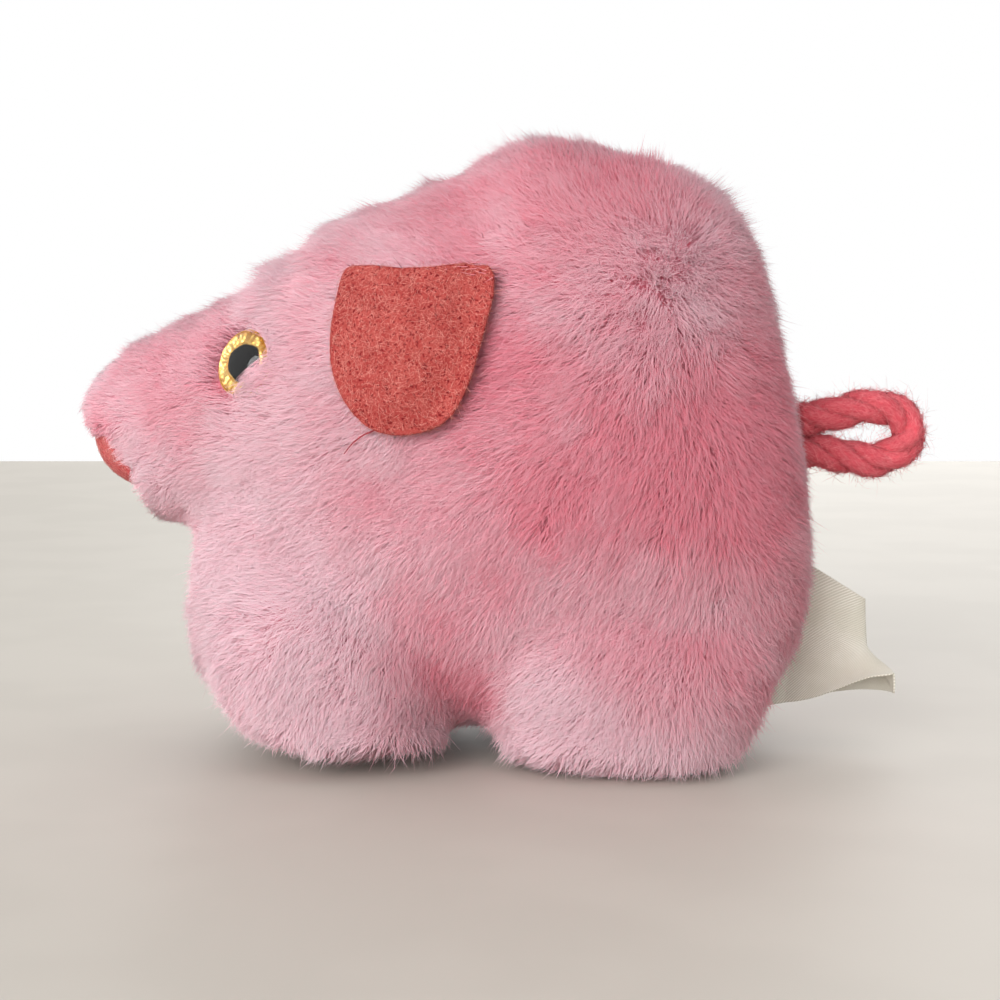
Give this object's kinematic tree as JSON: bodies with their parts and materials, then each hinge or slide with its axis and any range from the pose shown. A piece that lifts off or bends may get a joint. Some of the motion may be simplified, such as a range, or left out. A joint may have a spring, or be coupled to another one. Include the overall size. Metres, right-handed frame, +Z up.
{
  "type": "plush pig",
  "caption": "Small stuffed long-pile pig on four stub legs, with felt ears and nose disc, domed eyes, a looped yarn tail and a folded ribbon in the rear seam.",
  "frame": {"origin": "on the ground under the middle of the pig and its label, the yarn tail left out", "axes": "-X is where the snout points, +Y is the pig's right side, +Z is up"},
  "size_m": [0.1153, 0.064, 0.0833],
  "materials": {
    "plush": "long brushed acrylic pile",
    "stuffing": "loose white fibre",
    "granules": "crushed shell granules",
    "felt": "coral pressed felt",
    "eye_clear": "clear moulded plastic, polished",
    "eye_gold": "gold with a black pupil under the lens",
    "washer": "white moulded plastic",
    "yarn": "coral fuzzy spun yarn",
    "ribbon": "off-white woven ribbon",
    "thread": "sewing thread"
  },
  "bodies": {
    "pig": {"torso_plush": "plush", "head_plush": "plush", "front_leg_plush_left": "plush", "front_leg_plush_right": "plush", "rear_leg_plush_left": "plush", "rear_leg_plush_right": "plush", "torso_stuffing": "stuffing", "head_stuffing": "stuffing", "front_leg_stuffing_left": "stuffing", "front_leg_stuffing_right": "stuffing", "rear_leg_stuffing_left": "stuffing", "rear_leg_stuffing_right": "stuffing", "granule_filling": "granules", "nose_felt_disc": "felt", "eye_lens_left": "eye_clear", "eye_lens_right": "eye_clear", "eye_disc_and_stem_left": "eye_gold", "eye_disc_and_stem_right": "eye_gold", "eye_lock_washer_left": "washer", "eye_lock_washer_right": "washer", "ear_thread_left": "thread", "ear_thread_right": "thread", "belly_seam_thread": "thread"},
    "left_ear": {"ear_left": "felt"},
    "right_ear": {"ear_right": "felt"},
    "tail": {"tail_yarn": "yarn"},
    "label": {"ribbon_label": "ribbon"}
  },
  "joints": [
    {"name": "left_ear_lift", "type": "hinge", "parent": "pig", "child": "left_ear", "pos_m": [-0.0094, -0.02607, 0.0656], "axis": [-0.9697, 0.2443, 0], "range_deg": [0, 85]},
    {"name": "right_ear_lift", "type": "hinge", "parent": "pig", "child": "right_ear", "pos_m": [-0.0094, 0.02607, 0.0656], "axis": [0.9697, 0.2443, 0], "range_deg": [0, 85]},
    {"name": "tail_swing", "type": "hinge", "parent": "pig", "child": "tail", "pos_m": [0.04279, 0, 0.04285], "axis": [0, 0, 1], "range_deg": [-45, 45]},
    {"name": "label_swing", "type": "hinge", "parent": "pig", "child": "label", "pos_m": [0.0423, 0, 0.0152], "axis": [0.1065, 0, 0.9943], "range_deg": [-40, 40]}
  ]
}
